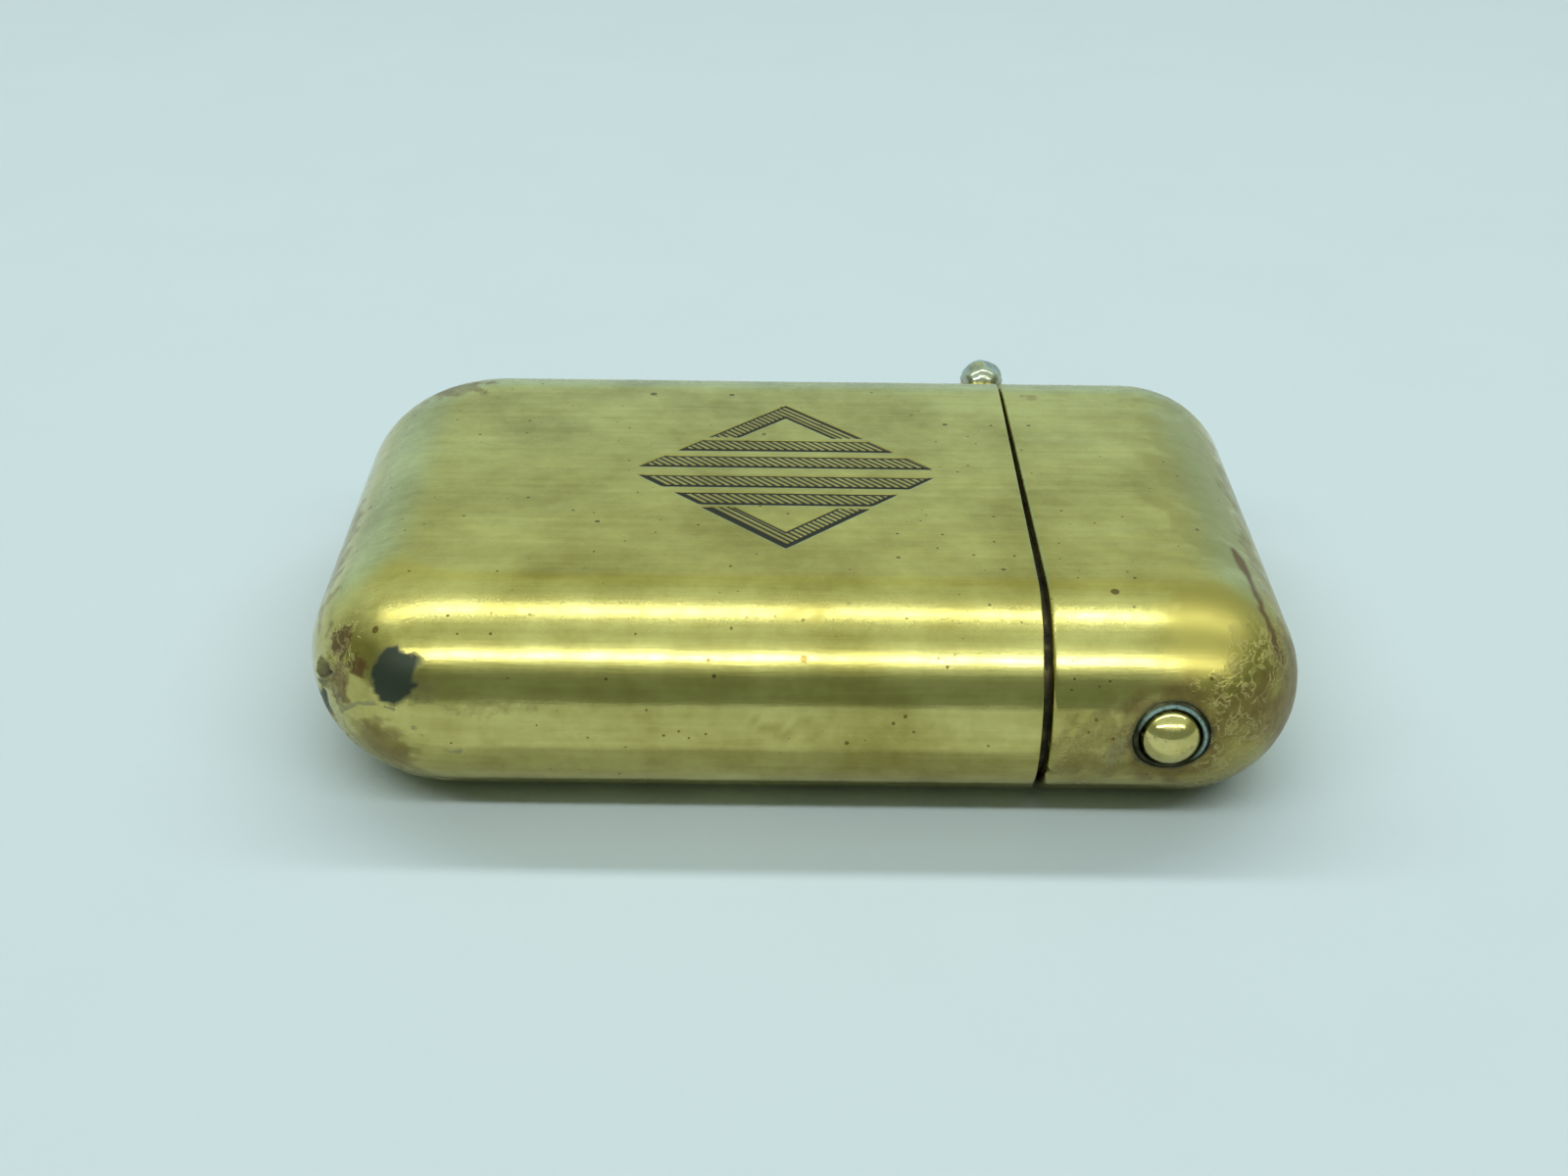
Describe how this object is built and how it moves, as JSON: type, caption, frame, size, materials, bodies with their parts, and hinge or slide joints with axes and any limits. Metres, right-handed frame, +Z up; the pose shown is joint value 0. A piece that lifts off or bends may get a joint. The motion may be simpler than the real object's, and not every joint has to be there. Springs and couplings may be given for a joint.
{
  "type": "pocket lighter",
  "caption": "Flat pebble-shaped brass pocket lighter with a push-button lid hinged at one end over a wick, flint wheel and fuel body.",
  "frame": {"origin": "middle of the flat underside of the closed case", "axes": "+X along the case towards the lid's end, +Y towards the hinge side, -Y towards the button side, +Z up through the case's thickness"},
  "size_m": [0.056, 0.0409, 0.0127],
  "materials": {
    "aged_brass": "worn, tarnished sheet brass, satin with fine scratches",
    "polished_brass": "polished by use",
    "tarnished_neck": "dark tarnish, satin",
    "green_tarnish": "brass under blue-green tarnish, dull",
    "inside_brass": "turned and drawn brass, satin",
    "nickel_silver": "nickel-plated pin, softly worn",
    "spring_steel": "hardened spring steel, satin",
    "wheel_steel": "file-cut hardened steel, sooty",
    "ferrocerium": "ferrocerium rod, matt",
    "cotton": "cotton, fibrous",
    "leather": "leather washer, matt"
  },
  "bodies": {
    "case": {"case_shell": "aged_brass", "neck_collar": "tarnished_neck", "deck_plate": "inside_brass", "fuel_wadding": "cotton", "wick_tube": "inside_brass", "wick": "cotton", "flint_tube": "inside_brass", "flint": "ferrocerium", "flint_spring": "spring_steel", "flint_screw": "inside_brass", "wheel_bracket": "inside_brass", "wheel_axle": "spring_steel", "filler_washer": "leather", "body_knuckles": "aged_brass", "hinge_pin": "nickel_silver", "lid_spring": "spring_steel", "lid_spring_rivets": "inside_brass"},
    "lid": {"lid_shell": "aged_brass", "lid_knuckle": "aged_brass", "snuffer_cup": "inside_brass", "snuffer_stem": "inside_brass", "button_collar": "green_tarnish", "catch_spring": "spring_steel", "catch_block": "inside_brass", "catch_rivets": "inside_brass"},
    "button": {"push_button": "polished_brass"},
    "flint_wheel": {"flint_wheel": "wheel_steel"},
    "filler_screw": {"filler_screw": "inside_brass"}
  },
  "joints": [
    {"name": "lid_hinge", "type": "hinge", "parent": "case", "child": "lid", "pos_m": [0.0125, 0.02005, 0.00635], "axis": [0, 0, 1], "range_deg": [0, 100], "deforming": ["lid_spring", "catch_spring"]},
    {"name": "button_slide", "type": "slide", "parent": "lid", "child": "button", "axis": [0, 1, 0], "range_m": [0, 0.0005], "stiffness_N_per_m": 1000, "springref_m": -0.0004},
    {"name": "flint_wheel_spin", "type": "hinge", "parent": "case", "child": "flint_wheel", "pos_m": [0.0179, -0.0055, 0.00635], "axis": [0, 0, 1], "continuous": true},
    {"name": "filler_screw_turn", "type": "hinge", "parent": "case", "child": "filler_screw", "pos_m": [0.0119, -0.0122, 0.00635], "axis": [1, 0, 0], "range_deg": [0, 1080]}
  ]
}
